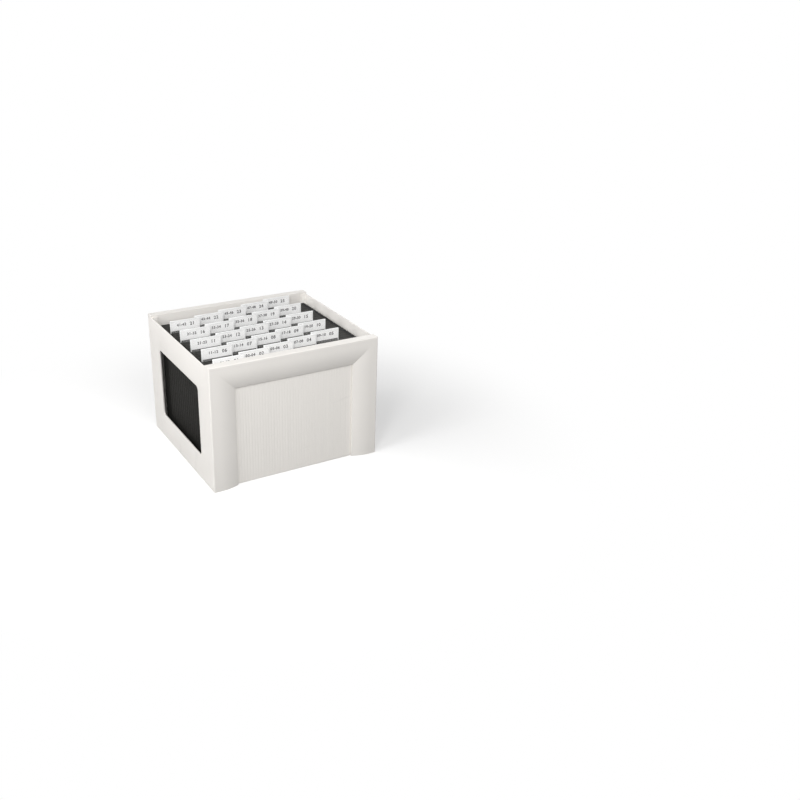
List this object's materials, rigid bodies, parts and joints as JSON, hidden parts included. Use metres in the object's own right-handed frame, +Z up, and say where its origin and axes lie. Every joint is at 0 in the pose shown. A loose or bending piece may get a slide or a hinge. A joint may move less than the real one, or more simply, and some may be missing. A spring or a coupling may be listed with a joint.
{
  "type": "hanging file box",
  "caption": "Open moulded file box with twin-wall panels, hand openings and a full row of lift-out hanging folders with staggered label tabs.",
  "frame": {"origin": "middle of the underside", "axes": "-Y is the front, +X is the right-hand side seen from the front, +Z up"},
  "size_m": [0.365, 0.34, 0.2682],
  "materials": {
    "box_plastic": "fine satin grain",
    "panel_plastic": "satin twin-wall sheet",
    "lacquered_steel": "dark lacquer, rubbed bright on the top edge",
    "screw_steel": "zinc plated",
    "folder_card": "dark fine-grained sheet",
    "tab_plastic": "clear sleeve over a white label"
  },
  "bodies": {
    "box": {"front_frame": "box_plastic", "back_frame": "box_plastic", "front_panel": "panel_plastic", "back_panel": "panel_plastic", "left_side_frame": "box_plastic", "right_side_frame": "box_plastic", "base": "box_plastic", "left_rail": "lacquered_steel", "right_rail": "lacquered_steel", "screws": "screw_steel"},
    "folder_body_01": {"folder_01": "folder_card", "tab_01": "tab_plastic"},
    "folder_body_02": {"folder_02": "folder_card", "tab_02": "tab_plastic"},
    "folder_body_03": {"folder_03": "folder_card", "tab_03": "tab_plastic"},
    "folder_body_04": {"folder_04": "folder_card", "tab_04": "tab_plastic"},
    "folder_body_05": {"folder_05": "folder_card", "tab_05": "tab_plastic"},
    "folder_body_06": {"folder_06": "folder_card", "tab_06": "tab_plastic"},
    "folder_body_07": {"folder_07": "folder_card", "tab_07": "tab_plastic"},
    "folder_body_08": {"folder_08": "folder_card", "tab_08": "tab_plastic"},
    "folder_body_09": {"folder_09": "folder_card", "tab_09": "tab_plastic"},
    "folder_body_10": {"folder_10": "folder_card", "tab_10": "tab_plastic"},
    "folder_body_11": {"folder_11": "folder_card", "tab_11": "tab_plastic"},
    "folder_body_12": {"folder_12": "folder_card", "tab_12": "tab_plastic"},
    "folder_body_13": {"folder_13": "folder_card", "tab_13": "tab_plastic"},
    "folder_body_14": {"folder_14": "folder_card", "tab_14": "tab_plastic"},
    "folder_body_15": {"folder_15": "folder_card", "tab_15": "tab_plastic"},
    "folder_body_16": {"folder_16": "folder_card", "tab_16": "tab_plastic"},
    "folder_body_17": {"folder_17": "folder_card", "tab_17": "tab_plastic"},
    "folder_body_18": {"folder_18": "folder_card", "tab_18": "tab_plastic"},
    "folder_body_19": {"folder_19": "folder_card", "tab_19": "tab_plastic"},
    "folder_body_20": {"folder_20": "folder_card", "tab_20": "tab_plastic"},
    "folder_body_21": {"folder_21": "folder_card", "tab_21": "tab_plastic"},
    "folder_body_22": {"folder_22": "folder_card", "tab_22": "tab_plastic"},
    "folder_body_23": {"folder_23": "folder_card", "tab_23": "tab_plastic"},
    "folder_body_24": {"folder_24": "folder_card", "tab_24": "tab_plastic"},
    "folder_body_25": {"folder_25": "folder_card", "tab_25": "tab_plastic"}
  },
  "joints": [
    {"name": "folder_01_lift", "type": "slide", "parent": "box", "child": "folder_body_01", "axis": [0, 0, 1], "range_m": [0, 0.27]},
    {"name": "folder_02_lift", "type": "slide", "parent": "box", "child": "folder_body_02", "axis": [0, 0, 1], "range_m": [0, 0.27]},
    {"name": "folder_03_lift", "type": "slide", "parent": "box", "child": "folder_body_03", "axis": [0, 0, 1], "range_m": [0, 0.27]},
    {"name": "folder_04_lift", "type": "slide", "parent": "box", "child": "folder_body_04", "axis": [0, 0, 1], "range_m": [0, 0.27]},
    {"name": "folder_05_lift", "type": "slide", "parent": "box", "child": "folder_body_05", "axis": [0, 0, 1], "range_m": [0, 0.27]},
    {"name": "folder_06_lift", "type": "slide", "parent": "box", "child": "folder_body_06", "axis": [0, 0, 1], "range_m": [0, 0.27]},
    {"name": "folder_07_lift", "type": "slide", "parent": "box", "child": "folder_body_07", "axis": [0, 0, 1], "range_m": [0, 0.27]},
    {"name": "folder_08_lift", "type": "slide", "parent": "box", "child": "folder_body_08", "axis": [0, 0, 1], "range_m": [0, 0.27]},
    {"name": "folder_09_lift", "type": "slide", "parent": "box", "child": "folder_body_09", "axis": [0, 0, 1], "range_m": [0, 0.27]},
    {"name": "folder_10_lift", "type": "slide", "parent": "box", "child": "folder_body_10", "axis": [0, 0, 1], "range_m": [0, 0.27]},
    {"name": "folder_11_lift", "type": "slide", "parent": "box", "child": "folder_body_11", "axis": [0, 0, 1], "range_m": [0, 0.27]},
    {"name": "folder_12_lift", "type": "slide", "parent": "box", "child": "folder_body_12", "axis": [0, 0, 1], "range_m": [0, 0.27]},
    {"name": "folder_13_lift", "type": "slide", "parent": "box", "child": "folder_body_13", "axis": [0, 0, 1], "range_m": [0, 0.27]},
    {"name": "folder_14_lift", "type": "slide", "parent": "box", "child": "folder_body_14", "axis": [0, 0, 1], "range_m": [0, 0.27]},
    {"name": "folder_15_lift", "type": "slide", "parent": "box", "child": "folder_body_15", "axis": [0, 0, 1], "range_m": [0, 0.27]},
    {"name": "folder_16_lift", "type": "slide", "parent": "box", "child": "folder_body_16", "axis": [0, 0, 1], "range_m": [0, 0.27]},
    {"name": "folder_17_lift", "type": "slide", "parent": "box", "child": "folder_body_17", "axis": [0, 0, 1], "range_m": [0, 0.27]},
    {"name": "folder_18_lift", "type": "slide", "parent": "box", "child": "folder_body_18", "axis": [0, 0, 1], "range_m": [0, 0.27]},
    {"name": "folder_19_lift", "type": "slide", "parent": "box", "child": "folder_body_19", "axis": [0, 0, 1], "range_m": [0, 0.27]},
    {"name": "folder_20_lift", "type": "slide", "parent": "box", "child": "folder_body_20", "axis": [0, 0, 1], "range_m": [0, 0.27]},
    {"name": "folder_21_lift", "type": "slide", "parent": "box", "child": "folder_body_21", "axis": [0, 0, 1], "range_m": [0, 0.27]},
    {"name": "folder_22_lift", "type": "slide", "parent": "box", "child": "folder_body_22", "axis": [0, 0, 1], "range_m": [0, 0.27]},
    {"name": "folder_23_lift", "type": "slide", "parent": "box", "child": "folder_body_23", "axis": [0, 0, 1], "range_m": [0, 0.27]},
    {"name": "folder_24_lift", "type": "slide", "parent": "box", "child": "folder_body_24", "axis": [0, 0, 1], "range_m": [0, 0.27]},
    {"name": "folder_25_lift", "type": "slide", "parent": "box", "child": "folder_body_25", "axis": [0, 0, 1], "range_m": [0, 0.27]}
  ]
}
